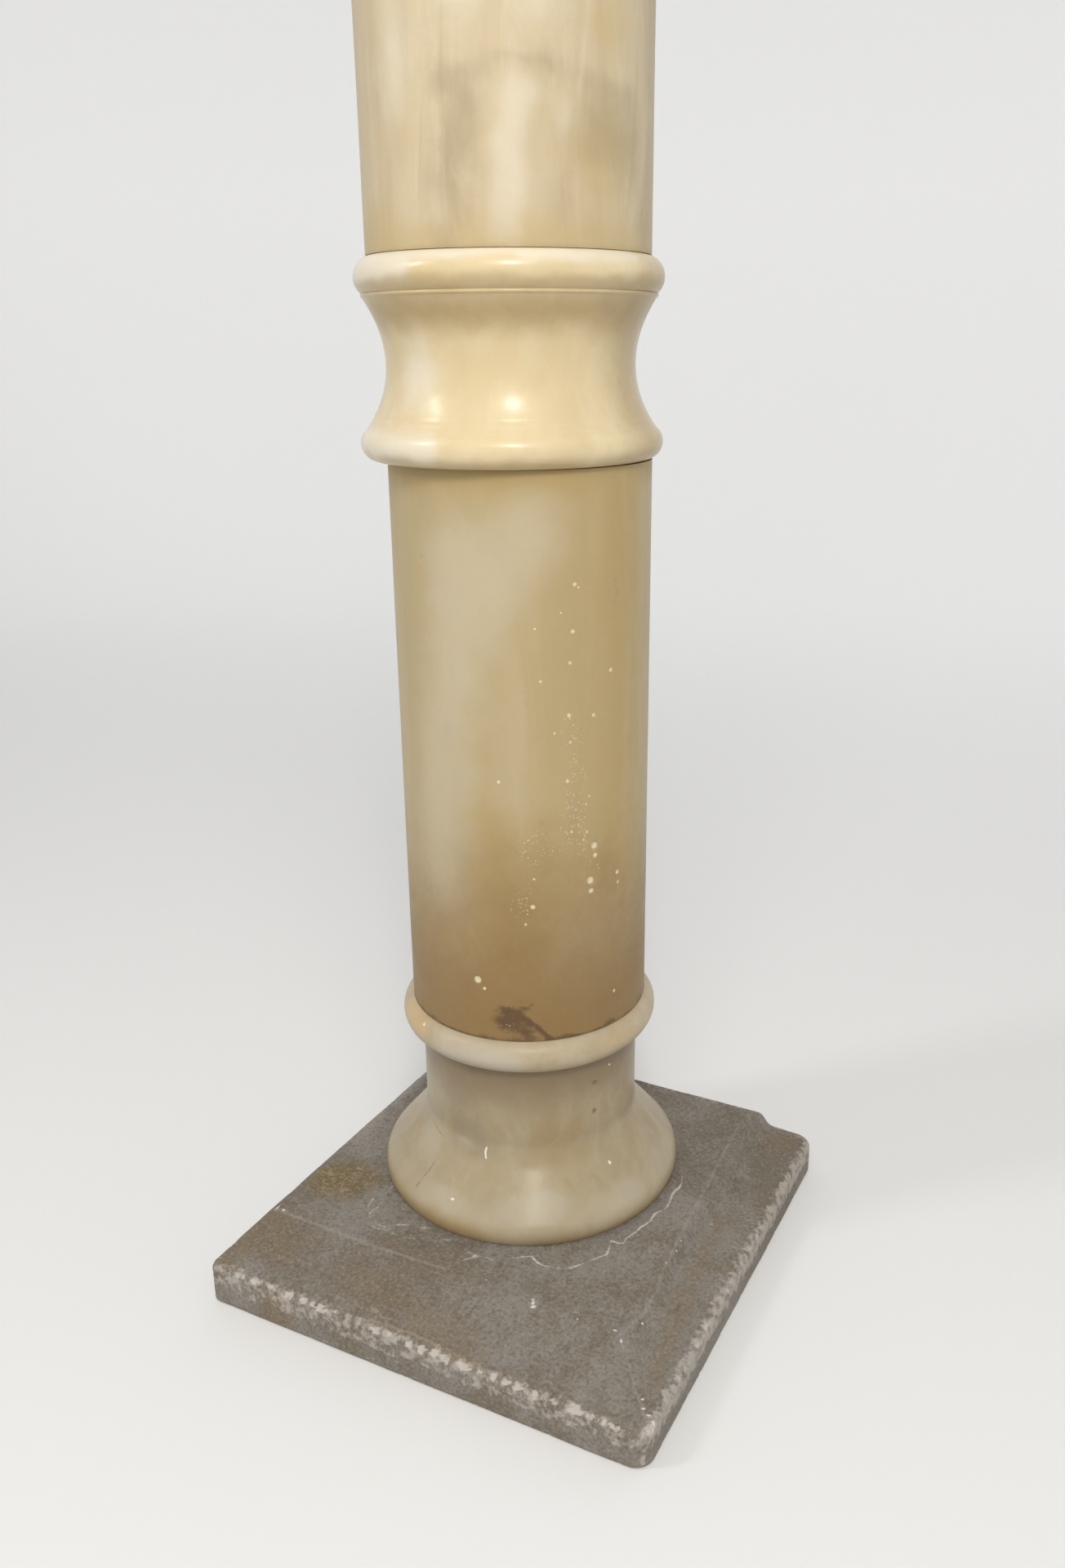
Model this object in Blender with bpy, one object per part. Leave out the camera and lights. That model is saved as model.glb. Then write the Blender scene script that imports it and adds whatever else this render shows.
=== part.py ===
# Alabaster pedestal column on a square stone plinth.
# Metres, +Z up. The origin is the centre of the plinth's underside, and X and Y run along its sides:
# -Y is the side with the sloping margin, and +X is the side with the rebated margin.

import math

import bmesh
import bpy

# Clearance between stacked pieces
STACK_GAP = 0.0003

# Numbers of flats: round a turned piece, along the arcs of its profile, and across the plinth
TURN_STEPS = 60
RING_STEPS = 8
BEAD_STEPS = 6
WAIST_STEPS = 9
COVE_STEPS = 4
LIP_STEPS = 5
ARRIS_STEPS = 4
FIELD_STEPS = 5
STEP_STEPS = 4
MARGIN_STEPS = 4
WELD_DISTANCE = 0.00001
SMOOTH_ANGLE = math.radians(35.0)

# Shaft: two drums
LOWER_DRUM_RADIUS = 0.0800
LOWER_DRUM_LENGTH = 0.3550
UPPER_DRUM_RADIUS = 0.0825
UPPER_DRUM_LENGTH = 0.3550
DRUM_ARRIS = 0.0010

# The collar and all above it stand a few millimetres off the lower drum's axis
UPPER_SHIFT_X = -0.0039
UPPER_SHIFT_Y = -0.0021

# Round-edged discs at the shaft's two ends
RING_HEIGHT = 0.0236
RING_OVERHANG = 0.0072

# Collar between the drums: bead, hollow waist, bead
COLLAR_HEIGHT = 0.1130
LOWER_BEAD_HEIGHT = 0.0200
UPPER_BEAD_HEIGHT = 0.0230
LOWER_BEAD_OVERHANG = 0.0107
UPPER_BEAD_OVERHANG = 0.0077
CREASE_INSET = 0.0040
WAIST_DEPTH = 0.0063

# Foot and capital: a straight neck that flares into a round bell
NECK_SETBACK = 0.0058
FOOT_HEIGHT = 0.1150
CAPITAL_HEIGHT = 0.1150
BELL_FLARE = 0.0310
LIP_RADIUS = 0.0125
LIP_CENTRE_HEIGHT = 0.0065
COVE_RADIUS = 0.0260
FLARE_SLOPE = math.radians(50.0)
NECK_ARRIS = 0.0008

# Plinth: the foot stands on a raised field, with a lower margin along two sides
FIELD_HEIGHT = 0.0363
FIELD_LEFT = 0.0323
FIELD_RIGHT = 0.0265
FIELD_FRONT = 0.0316
FIELD_BACK = 0.0208
FRONT_MARGIN = 0.0555
SIDE_MARGIN = 0.0436
RIM_HEIGHT = 0.0256
LEFT_RIM_HEIGHT = 0.0299

# The side margin starts with a steep step, which turns into a soft fall towards the front
STEP_RUN = 0.0110
STEP_FLOOR = 0.0276
STEP_FADE = 0.1000

# Rounded edges: the left one is worn wider between its corners, and the front left corner is tighter
PLINTH_ARRIS = 0.0050
LEFT_ARRIS = 0.0140
WEAR_TAPER = 0.0550
PLINTH_CORNER = 0.0120
LEFT_CORNER = 0.0060
UNDER_ARRIS = 0.0020


def stone(name, colour, roughness):
    material = bpy.data.materials.new(name)
    material.use_nodes = True
    shader = material.node_tree.nodes["Principled BSDF"]
    shader.inputs["Base Color"].default_value = (*colour, 1.0)
    shader.inputs["Roughness"].default_value = roughness
    shader.inputs["Metallic"].default_value = 0.0
    return material


def spaced(start, end, steps):
    return [start + (end - start) * step / steps for step in range(steps + 1)]


def arc(centre_r, centre_z, radius, start_degrees, end_degrees, steps):
    """Points of an arc, as (distance from the axis, height)."""
    turns = spaced(math.radians(start_degrees), math.radians(end_degrees), steps)
    return [(centre_r + radius * math.cos(a), centre_z + radius * math.sin(a)) for a in turns]


def arris_drop(radius, inset):
    """How far a rounded edge has fallen at an inset from the face beside it."""
    short = max(0.0, radius - inset)
    return radius - math.sqrt(max(0.0, radius**2 - short**2))


def end_lines(half, arris, corner):
    """Distances from the middle that follow a rounded edge and a rounded corner, from the edge in."""
    lines = [half - arris * (1.0 - math.cos(a)) for a in spaced(0.0, math.pi / 2, ARRIS_STEPS)]
    if corner > arris:
        lines += [half - (arris + corner) / 2, half - corner]
    return lines


def add_object(name, shape, material, place):
    mesh = bpy.data.meshes.new(name)
    shape.to_mesh(mesh)
    shape.free()
    mesh.materials.append(material)
    mesh.shade_smooth()
    mesh.set_sharp_from_angle(angle=SMOOTH_ANGLE)
    piece = bpy.data.objects.new(name, mesh)
    piece.location = place
    bpy.context.scene.collection.objects.link(piece)
    return piece


def turned(name, profile, material, place):
    """A piece turned about Z from a profile that runs from its top face to its underside."""
    outline = [(0.0, profile[0][1]), *profile, (0.0, profile[-1][1])]
    shape = bmesh.new()
    points = [shape.verts.new((radius, 0.0, height)) for radius, height in outline]
    lines = [shape.edges.new(pair) for pair in zip(points, points[1:])]
    bmesh.ops.spin(
        shape, geom=points + lines, cent=(0, 0, 0), axis=(0, 0, 1), angle=math.tau, steps=TURN_STEPS
    )
    bmesh.ops.remove_doubles(shape, verts=shape.verts, dist=WELD_DISTANCE)
    bmesh.ops.recalc_face_normals(shape, faces=shape.faces)
    return add_object(name, shape, material, place)


def drum_profile(radius, length):
    return [
        (radius - DRUM_ARRIS, length),
        (radius, length - DRUM_ARRIS),
        (radius, DRUM_ARRIS),
        (radius - DRUM_ARRIS, 0.0),
    ]


def ring_profile(drum_radius):
    bead = RING_HEIGHT / 2
    return arc(drum_radius + RING_OVERHANG - bead, bead, bead, 90.0, -90.0, RING_STEPS)


def collar_profile():
    lower = LOWER_BEAD_HEIGHT / 2
    upper = UPPER_BEAD_HEIGHT / 2
    lower_edge = LOWER_DRUM_RADIUS + LOWER_BEAD_OVERHANG
    upper_edge = UPPER_DRUM_RADIUS + UPPER_BEAD_OVERHANG
    lower_turn = math.degrees(math.acos(1.0 - CREASE_INSET / lower))
    upper_turn = math.degrees(math.acos(1.0 - CREASE_INSET / upper))
    upper_bead = arc(upper_edge - upper, COLLAR_HEIGHT - upper, upper, 90.0, -upper_turn, BEAD_STEPS)
    lower_bead = arc(lower_edge - lower, lower, lower, lower_turn, -90.0, BEAD_STEPS)
    # The waist is a parabola's hollow from one crease to the other.
    crease_r, crease_z = upper_bead[-1]
    end_r, end_z = lower_bead[0]
    waist_r = LOWER_DRUM_RADIUS - WAIST_DEPTH
    waist = []
    for step in range(1, WAIST_STEPS):
        share = step / WAIST_STEPS
        straight = crease_r + (end_r - crease_r) * share
        hollow = 1.0 - (2.0 * share - 1.0) ** 2
        waist.append((straight + (waist_r - straight) * hollow, crease_z + (end_z - crease_z) * share))
    return upper_bead + waist + lower_bead


def bell_profile(drum_radius, height):
    """Straight neck, hollow flare and round lip, from the neck's end down to the wide end."""
    neck = drum_radius - NECK_SETBACK
    sine = math.sin(FLARE_SLOPE)
    cosine = math.cos(FLARE_SLOPE)
    lip_r = neck + BELL_FLARE - LIP_RADIUS
    slope_start_r = lip_r + LIP_RADIUS * sine
    slope_start_z = LIP_CENTRE_HEIGHT + LIP_RADIUS * cosine
    slope_end_r = neck + COVE_RADIUS * (1.0 - sine)
    slope_end_z = slope_start_z + (slope_start_r - slope_end_r) * sine / cosine
    cove_z = slope_end_z + COVE_RADIUS * cosine
    turn = 90.0 - math.degrees(FLARE_SLOPE)
    under = -math.degrees(math.asin(LIP_CENTRE_HEIGHT / LIP_RADIUS))
    cove = arc(neck + COVE_RADIUS, cove_z, COVE_RADIUS, 180.0, 180.0 + turn, COVE_STEPS)
    lip = arc(lip_r, LIP_CENTRE_HEIGHT, LIP_RADIUS, turn, under, LIP_STEPS)
    return [(neck - NECK_ARRIS, height), (neck, height - NECK_ARRIS), *cove, *lip]


def turned_over(profile, height):
    return [(radius, height - level) for radius, level in reversed(profile)]


class Plinth:
    """The slab's sizes, worked out from the foot that stands on it."""

    def __init__(self, foot_radius):
        self.width = FIELD_LEFT + 2.0 * foot_radius + FIELD_RIGHT + SIDE_MARGIN
        self.depth = FRONT_MARGIN + FIELD_FRONT + 2.0 * foot_radius + FIELD_BACK
        self.half_x = self.width / 2
        self.half_y = self.depth / 2
        self.ridge_x = self.half_x - SIDE_MARGIN
        self.ridge_y = FRONT_MARGIN - self.half_y
        self.axis_x = FIELD_LEFT + foot_radius - self.half_x
        self.axis_y = self.ridge_y + FIELD_FRONT + foot_radius

    def grid_lines(self):
        """X and Y of the lines that carry the top face, close together where it is rounded."""
        left = end_lines(self.half_x, LEFT_ARRIS, PLINTH_CORNER)
        right = end_lines(self.half_x, PLINTH_ARRIS, PLINTH_CORNER)
        ends = end_lines(self.half_y, PLINTH_ARRIS, PLINTH_CORNER)
        step_end = self.ridge_x + STEP_RUN
        x_lines = [-x for x in left] + spaced(-left[-1], self.ridge_x, FIELD_STEPS)[1:]
        x_lines += spaced(self.ridge_x, step_end, STEP_STEPS)[1:]
        x_lines += spaced(step_end, right[-1], MARGIN_STEPS)[1:] + right[-2::-1]
        y_lines = [-y for y in ends] + spaced(-ends[-1], self.ridge_y, MARGIN_STEPS)[1:]
        y_lines += spaced(self.ridge_y, ends[-1], FIELD_STEPS)[1:] + ends[-2::-1]
        return x_lines, y_lines

    def sloping_top(self, x, y):
        """The field, which falls to the slab's front edge across the front margin."""
        across = (x + self.half_x) / self.width
        rim = LEFT_RIM_HEIGHT + (RIM_HEIGHT - LEFT_RIM_HEIGHT) * across
        share = min(1.0, (y + self.half_y) / FRONT_MARGIN)
        return rim + (FIELD_HEIGHT - rim) * share

    def stepped_top(self, x, y):
        """The field, which falls along the right side: a step behind and a soft fall in front."""
        past = max(0.0, x - self.ridge_x)
        fall = (1.0 - math.cos(math.pi * min(1.0, past / STEP_RUN))) / 2
        beyond = max(0.0, past - STEP_RUN) / (SIDE_MARGIN - STEP_RUN)
        step = FIELD_HEIGHT - (FIELD_HEIGHT - STEP_FLOOR) * fall - (STEP_FLOOR - RIM_HEIGHT) * beyond
        soft = RIM_HEIGHT + (FIELD_HEIGHT - RIM_HEIGHT) * (1.0 - past / SIDE_MARGIN) ** 2
        softness = min(1.0, max(0.0, 1.0 - (y - self.ridge_y) / STEP_FADE))
        return step + (soft - step) * softness

    def height_at(self, x, y):
        """Height of the top face, before its corners are rounded in plan."""
        from_left = self.half_x + x
        from_ends = self.half_y - abs(y)
        worn = PLINTH_ARRIS + (LEFT_ARRIS - PLINTH_ARRIS) * min(1.0, from_ends / WEAR_TAPER)
        drop = max(
            arris_drop(worn, from_left), arris_drop(PLINTH_ARRIS, min(self.half_x - x, from_ends))
        )
        return min(self.sloping_top(x, y), self.stepped_top(x, y)) - drop

    def rounded_plan(self, x, y):
        """The same point once the slab's corners are round in plan."""
        radius = LEFT_CORNER if x < 0.0 and y < 0.0 else PLINTH_CORNER
        corner_x = self.half_x - radius
        corner_y = self.half_y - radius
        over_x = abs(x) - corner_x
        over_y = abs(y) - corner_y
        if over_x <= 0.0 or over_y <= 0.0:
            return x, y
        share = max(over_x, over_y) / math.hypot(over_x, over_y)
        new_x = math.copysign(corner_x + over_x * share, x)
        new_y = math.copysign(corner_y + over_y * share, y)
        return new_x, new_y

    def build(self, material):
        shape = bmesh.new()
        x_lines, y_lines = self.grid_lines()
        rows = []
        for y in y_lines:
            row = []
            for x in x_lines:
                row.append(shape.verts.new((*self.rounded_plan(x, y), self.height_at(x, y))))
            rows.append(row)
        # Each face's diagonal runs the way of the hip, from the field's corner to the slab's.
        for near, far in zip(rows, rows[1:]):
            for column in range(len(near) - 1):
                shape.faces.new((near[column + 1], far[column + 1], far[column], near[column]))
        self.extrude_rim(shape, UNDER_ARRIS, 0.0)
        self.extrude_rim(shape, 0.0, UNDER_ARRIS)
        bmesh.ops.holes_fill(shape, edges=[edge for edge in shape.edges if edge.is_boundary])
        bmesh.ops.recalc_face_normals(shape, faces=shape.faces)
        return add_object("plinth", shape, material, (0.0, 0.0, 0.0))

    def extrude_rim(self, shape, level, inset):
        """Carries the open rim down to a level, and in from the outline by an inset."""
        rim = [edge for edge in shape.edges if edge.is_boundary]
        made = bmesh.ops.extrude_edge_only(shape, edges=rim)["geom"]
        for point in made:
            if isinstance(point, bmesh.types.BMVert):
                point.co.x *= 1.0 - inset / self.half_x
                point.co.y *= 1.0 - inset / self.half_y
                point.co.z = level


def main():
    for leftover in list(bpy.data.objects):
        bpy.data.objects.remove(leftover)

    grey_stone = stone("plinth_stone", (0.24, 0.205, 0.17), 0.85)
    tan_alabaster = stone("foot_alabaster", (0.50, 0.41, 0.28), 0.32)
    pale_alabaster = stone("ring_alabaster", (0.66, 0.58, 0.44), 0.35)
    drum_alabaster = stone("lower_drum_alabaster", (0.46, 0.36, 0.21), 0.30)
    cream_alabaster = stone("collar_alabaster", (0.70, 0.60, 0.38), 0.22)
    veined_alabaster = stone("upper_drum_alabaster", (0.68, 0.58, 0.38), 0.28)

    foot = bell_profile(LOWER_DRUM_RADIUS, FOOT_HEIGHT)
    plinth = Plinth(max(radius for radius, _ in foot))
    plinth.build(grey_stone)

    lower_axis = (plinth.axis_x, plinth.axis_y)
    upper_axis = (plinth.axis_x + UPPER_SHIFT_X, plinth.axis_y + UPPER_SHIFT_Y)
    capital = turned_over(bell_profile(UPPER_DRUM_RADIUS, CAPITAL_HEIGHT), CAPITAL_HEIGHT)
    stack = [
        ("foot", foot, FOOT_HEIGHT, tan_alabaster, lower_axis),
        ("lower_ring", ring_profile(LOWER_DRUM_RADIUS), RING_HEIGHT, pale_alabaster, lower_axis),
        (
            "lower_drum",
            drum_profile(LOWER_DRUM_RADIUS, LOWER_DRUM_LENGTH),
            LOWER_DRUM_LENGTH,
            drum_alabaster,
            lower_axis,
        ),
        ("collar", collar_profile(), COLLAR_HEIGHT, cream_alabaster, upper_axis),
        (
            "upper_drum",
            drum_profile(UPPER_DRUM_RADIUS, UPPER_DRUM_LENGTH),
            UPPER_DRUM_LENGTH,
            veined_alabaster,
            upper_axis,
        ),
        ("upper_ring", ring_profile(UPPER_DRUM_RADIUS), RING_HEIGHT, pale_alabaster, upper_axis),
        ("capital", capital, CAPITAL_HEIGHT, tan_alabaster, upper_axis),
    ]
    level = FIELD_HEIGHT
    for name, profile, height, material, axis in stack:
        level += STACK_GAP
        turned(name, profile, material, (*axis, level))
        level += height


main()
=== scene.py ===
# Looks of the alabaster pedestal column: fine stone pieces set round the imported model.
# Metres, +Z up, the column standing on z = 0.
import math

import bpy
import numpy as np
from mathutils import Matrix, Vector, noise


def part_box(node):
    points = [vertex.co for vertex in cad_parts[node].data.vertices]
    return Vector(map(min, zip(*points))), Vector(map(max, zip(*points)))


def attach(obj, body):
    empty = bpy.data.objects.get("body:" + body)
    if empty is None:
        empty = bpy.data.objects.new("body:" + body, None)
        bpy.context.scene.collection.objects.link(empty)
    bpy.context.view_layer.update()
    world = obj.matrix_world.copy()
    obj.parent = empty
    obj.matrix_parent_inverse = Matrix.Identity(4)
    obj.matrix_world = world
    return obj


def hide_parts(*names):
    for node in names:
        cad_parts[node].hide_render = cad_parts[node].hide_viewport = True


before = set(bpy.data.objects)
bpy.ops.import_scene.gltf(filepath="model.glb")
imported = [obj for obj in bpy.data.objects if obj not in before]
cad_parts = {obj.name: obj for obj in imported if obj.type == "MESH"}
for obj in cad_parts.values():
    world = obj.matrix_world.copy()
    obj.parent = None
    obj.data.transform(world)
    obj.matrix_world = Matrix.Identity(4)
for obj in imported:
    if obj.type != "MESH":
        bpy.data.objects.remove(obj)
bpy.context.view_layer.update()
print("packed model loaded")


# Places and small sums

def seatOf(node):  # where a stone stands: its axis, its underside and its height
    low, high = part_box(node)
    return {
        "x": (low.x + high.x) / 2,
        "y": (low.y + high.y) / 2,
        "bottom": low.z,
        "height": high.z - low.z,
        "radius": (high.x - low.x) / 2,
    }


def mixed(low, high, share):
    return low + (high - low) * share


def arc(centreR, centreZ, radius, fromDegrees, toDegrees, cell):
    turn = math.radians(toDegrees - fromDegrees)
    steps = max(2, math.ceil(abs(turn) * radius / cell))
    points = []
    for index in range(steps + 1):
        angle = math.radians(fromDegrees) + turn * index / steps
        points.append((centreR + radius * math.cos(angle), centreZ + radius * math.sin(angle)))
    return points


def closeRows(outline, cell):  # the same outline, with no step along it longer than the cell
    points = [outline[0]]
    for before, after in zip(outline, outline[1:]):
        steps = max(1, math.ceil(math.dist(before, after) / cell))
        for index in range(1, steps + 1):
            share = index / steps
            points.append((mixed(before[0], after[0], share), mixed(before[1], after[1], share)))
    return points


# Turning and painting stones

making = {
    "startSize": 0.001,   # the plane that becomes the first point of an outline
    "mergeWithin": 5e-6,
    "smoothBelow": 35,    # degrees between faces that are shaded as one
    "waverSize": 0.05,    # how long the waves of hand turning are
    "wander": 0.014,      # size of the noise that bends marks on the turned stones
    "flatWander": 0.012,  # the same on the slab
    "secondNoise": 7.3,   # where the noise for the other direction is read
    "nearAxis": 0.005,    # no radius is taken as less than this
    "patchBend": 0.003,   # how far patches wander on the turned stones
    "lineBend": 0.0006,   # the same for scratches and pits
    "markReach": 0.002,   # the mesh is finer up to this far from a fine mark
}


def pointsOf(stone):
    points = np.empty(len(stone.data.vertices) * 3, np.float32)
    stone.data.vertices.foreach_get("co", points)
    return points.reshape(-1, 3).astype(float)


def movePoints(stone, points):
    stone.data.vertices.foreach_set("co", points.astype(np.float32).ravel())
    stone.data.update()


def rough(points, size, shift=0.0):  # smooth noise from -1 to 1, with features of about this size
    return np.array([noise.noise(Vector(point) / size + Vector((shift, 0, shift))) for point in points])


def easedAll(values):  # 0 to 1, flat at both ends
    values = np.clip(values, 0, 1)
    return values * values * (3 - 2 * values)


def goTo(mode):
    bpy.ops.object.mode_set(mode=mode)


def turnStone(name, seat, outline, columns):  # outline: radius and height, from top to underside
    bpy.ops.object.select_all(action="DESELECT")
    start = (seat["x"], seat["y"], seat["bottom"])
    bpy.ops.mesh.primitive_plane_add(size=making["startSize"], location=start)
    stone = bpy.context.object
    stone.name = name
    goTo("EDIT")
    bpy.ops.mesh.select_mode(type="VERT")
    bpy.ops.mesh.select_all(action="SELECT")
    bpy.ops.mesh.merge(type="CENTER")
    bpy.ops.transform.translate(value=(outline[0][0], 0, outline[0][1]))
    for before, after in zip(outline, outline[1:]):
        step = (after[0] - before[0], 0, after[1] - before[1])
        bpy.ops.mesh.extrude_region_move(TRANSFORM_OT_translate={"value": step})
    goTo("OBJECT")
    turning = stone.modifiers.new("turning", "SCREW")
    turning.steps = turning.render_steps = columns
    turning.use_merge_vertices = True
    turning.merge_threshold = making["mergeWithin"]
    bpy.ops.object.modifier_apply(modifier="turning")
    bpy.ops.object.transform_apply(location=True, rotation=True, scale=True)
    goTo("EDIT")
    bpy.ops.mesh.select_all(action="SELECT")
    bpy.ops.mesh.normals_make_consistent(inside=False)
    goTo("OBJECT")
    return stone


def turnBetween(first, second):  # the shorter way round from one angle to another, in degrees
    return (first - second + 180) % 360 - 180


def unrolled(seat, points):  # angles in degrees round the axis, heights above the underside, radii
    x, y = points[:, 0] - seat["x"], points[:, 1] - seat["y"]
    radii = np.maximum(np.hypot(x, y), making["nearAxis"])
    return np.degrees(np.arctan2(y, x)), points[:, 2] - seat["bottom"], radii


# marks are placed by angle and height on a turned stone, and by x and y on the slab
def spotAt(first, second, across, along, strength=1.0):
    return {"spot": (first, second), "size": (across, along), "strength": strength}


def lineAlong(places, width, strength=1.0):
    return {"line": places, "width": width, "strength": strength}


def allRound(height):  # places the whole way round a stone
    return [(angle, height) for angle in (-180, -90, 0, 90, 180)]


def gapsRound(seat, points, bend):  # from a place (angle, height) to every point, in metres on the skin
    angles, heights, radii = unrolled(seat, points)
    across = rough(points, making["wander"]) * bend
    along = rough(points, making["wander"], making["secondNoise"]) * bend
    metres = math.radians(1) * radii
    return lambda place: (turnBetween(angles, place[0]) * metres + across, heights - place[1] + along)


def gapsFlat(points, bend):  # the same from a place (x, y)
    across = points[:, 0] + rough(points, making["flatWander"]) * bend
    along = points[:, 1] + rough(points, making["flatWander"], making["secondNoise"]) * bend
    return lambda place: (across - place[0], along - place[1])


def awayFrom(mark, gapsTo):  # distance from a mark, as a share of its size
    if "spot" in mark:
        across, along = gapsTo(mark["spot"])
        return np.hypot(across / mark["size"][0], along / mark["size"][1])
    nearest = math.inf
    for start, end in zip(mark["line"], mark["line"][1:]):
        (startX, startY), (endX, endY) = gapsTo(start), gapsTo(end)
        runX, runY = startX - endX, startY - endY
        square = runX * runX + runY * runY + 1e-12  # never nothing
        share = np.clip((startX * runX + startY * runY) / square, 0, 1)
        away = np.hypot(startX - runX * share, startY - runY * share) / mark["width"]
        nearest = np.minimum(nearest, away)
    return nearest


def storeLayer(stone, layer, values):
    stone.data.attributes.new(layer, "FLOAT", "POINT").data.foreach_set("value", values.astype(np.float32))


def paint(stone, gapsTo, layers, share=1.0):  # layers: a list of marks for each name
    for layer, marks in layers.items():
        bare = 1.0
        for mark in marks:
            bare = bare * (1 - easedAll(1 - awayFrom(mark, gapsTo)) * mark["strength"])
        storeLayer(stone, layer, (1 - bare) * share)


def refine(stone, chosen, cuts):  # smaller faces round the chosen points
    goTo("EDIT")
    bpy.ops.mesh.select_mode(type="VERT")
    bpy.ops.mesh.select_all(action="DESELECT")
    goTo("OBJECT")
    stone.data.vertices.foreach_set("select", chosen)
    goTo("EDIT")
    bpy.ops.mesh.subdivide(number_cuts=cuts)
    bpy.ops.mesh.select_mode(type="VERT")
    goTo("OBJECT")


def nearMarks(marks, gapsTo):  # the points on the marks and close by
    chosen = False
    for mark in marks:
        size = mark["width"] if "line" in mark else max(mark["size"])
        chosen = chosen | ((awayFrom(mark, gapsTo) - 1) * size < making["markReach"])
    return chosen


def wearRound(stone, waver):  # hand turning: the skin wavers inwards by fractions of a millimetre
    points = pointsOf(stone)
    normals = np.empty(points.size, np.float32)
    stone.data.vertices.foreach_get("normal", normals)
    sideways = normals.reshape(-1, 3) * (1, 1, 0)
    depth = waver * (0.5 + 0.5 * rough(points, making["waverSize"]))
    movePoints(stone, points - sideways * depth[:, None])


def smoothShade(stone):
    bpy.ops.object.select_all(action="DESELECT")
    stone.select_set(True)
    bpy.context.view_layer.objects.active = stone
    bpy.ops.object.shade_smooth_by_angle(angle=math.radians(making["smoothBelow"]))


def setInPlace(stone, node, material):
    smoothShade(stone)
    stone.data.materials.clear()
    stone.data.materials.append(material)
    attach(stone, "root")
    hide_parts(node)
    print(stone.name, "set in place,", len(stone.data.polygons), "faces")


# Shader maths

class Wire:  # one output socket, so that masks can be written as sums
    def __init__(self, tree, socket=None):
        self.tree = tree
        self.socket = socket

    def node(self, kind, settings=None, inputs=None, output=0):
        made = self.tree.nodes.new("ShaderNode" + kind)
        for key, value in (settings or {}).items():
            setattr(made, key, value)
        for key, value in (inputs or {}).items():
            if isinstance(value, Wire):
                self.tree.links.new(value.socket, made.inputs[key])
            elif isinstance(value, tuple) and made.inputs[key].type == "RGBA":
                made.inputs[key].default_value = (*value, 1)
            else:
                made.inputs[key].default_value = value
        return Wire(self.tree, made.outputs[output])

    def maths(self, operation, first, second=0.0):
        return self.node("Math", {"operation": operation}, {0: first, 1: second})

    def __add__(self, other):
        return self.maths("ADD", self, other)

    __radd__ = __add__

    def __sub__(self, other):
        return self.maths("SUBTRACT", self, other)

    def __rsub__(self, other):
        return self.maths("SUBTRACT", other, self)

    def __mul__(self, other):
        return self.maths("MULTIPLY", self, other)

    __rmul__ = __mul__

    def __abs__(self):
        return self.maths("ABSOLUTE", self)

    def rise(self, low, high, peak=1.0):  # 0 below low, peak above high, smooth between
        return self.node("MapRange", {"interpolation_type": "SMOOTHSTEP"},
                         {"Value": self, "From Min": low, "From Max": high, "To Max": peak})

    def over(self, under, colour):  # colour laid over what is under, by this mask
        return self.node("Mix", {"data_type": "RGBA"}, {0: self, 6: under, 7: colour}, 2)

    def layer(self, name):  # a mask painted on the stone
        return self.node("Attribute", {"attribute_name": name}, output="Fac")

    def grain(self, where, size, detail=4.0, roughness=0.55, distortion=0.0):
        return self.node("TexNoise", {}, {"Vector": where, "Scale": 1 / size, "Detail": detail,
                                          "Roughness": roughness, "Distortion": distortion})

    def placed(self, centre=(0, 0, 0), turn=(0, 0, 0), stretch=(1, 1, 1)):
        spot = self.node("TexCoord", output="Object")
        moved = self.node("Mapping", {"vector_type": "POINT"}, {"Vector": spot, "Location": centre})
        return self.node("Mapping", {}, {"Vector": moved, "Rotation": turn, "Scale": stretch})


def newFinish(name, constants):
    material = bpy.data.materials.new(name)
    material.use_nodes = True
    tree = material.node_tree
    shader = tree.nodes["Principled BSDF"]
    for key, value in constants.items():
        shader.inputs[key].default_value = value
    return material, Wire(tree), shader


def brokenEdge(painted, broken, edge):  # a painted mask whose edge the noise breaks up
    spread, least, most, peak = edge
    return (painted + broken * spread).rise(least, most, peak)


def connect(start, shader, links):
    for key, wire in links.items():
        start.tree.links.new(wire.socket, shader.inputs[key])


# Alabaster

alabasterPolish = {
    "IOR": 1.52,
    "Specular IOR Level": 0.36,
    "Subsurface Weight": 0.25,
    "Subsurface Radius": (1.0, 0.62, 0.30),
    "Subsurface Scale": 0.005,
    "Coat Roughness": 0.17,
    "Coat IOR": 1.40,
}
alabasterGrain = {  # sizes of the patterns, and how much they do
    "smear": 0.022, "fine": 0.0045, "fleck": 0.0021, "vein": 0.030, "fineCover": 0.10, "fleckCover": 0.75,
    "glossSpread": 0.22, "markGloss": 0.25, "reliefStrength": 0.25, "reliefDepth": 0.0003,
}


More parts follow.
